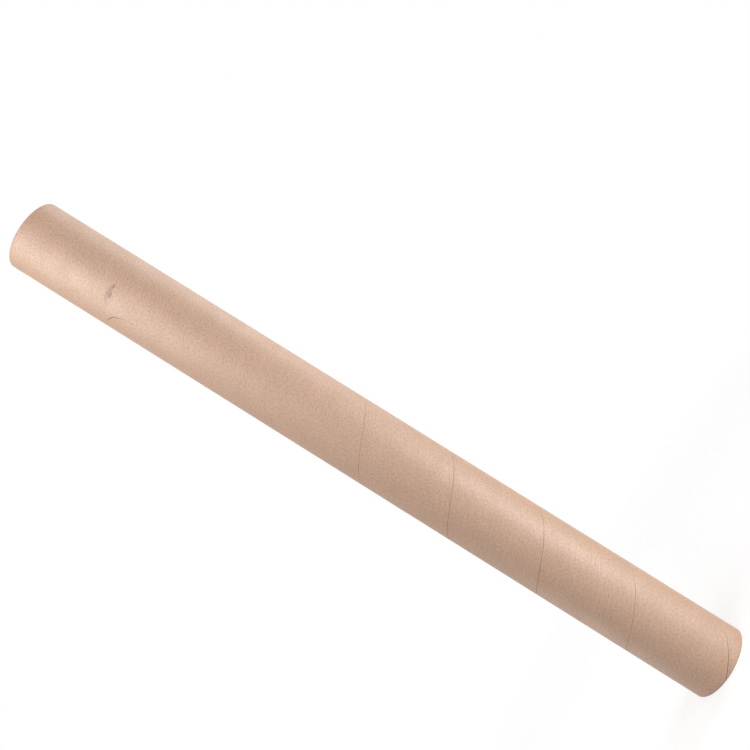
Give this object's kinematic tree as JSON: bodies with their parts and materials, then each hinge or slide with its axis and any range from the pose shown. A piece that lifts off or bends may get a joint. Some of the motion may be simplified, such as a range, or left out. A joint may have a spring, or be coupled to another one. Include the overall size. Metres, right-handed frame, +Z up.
{
  "type": "mailing tube",
  "caption": "Long round paperboard mailing tube, spiral wound with a fine helical seam and open at both square-cut ends, for posting rolled papers.",
  "frame": {"origin": "middle of the lower cut end, where the tube stands on the ground", "axes": "+Z up the tube's own axis; -Y towards the side that the picture shows, with +X on that side's right"},
  "size_m": [0.0572, 0.0572, 0.6096],
  "materials": {
    "kraft_board": "bare brown kraft board, matte and finely mottled with fibres"
  },
  "bodies": {
    "root": {"tube": "kraft_board"}
  },
  "joints": []
}
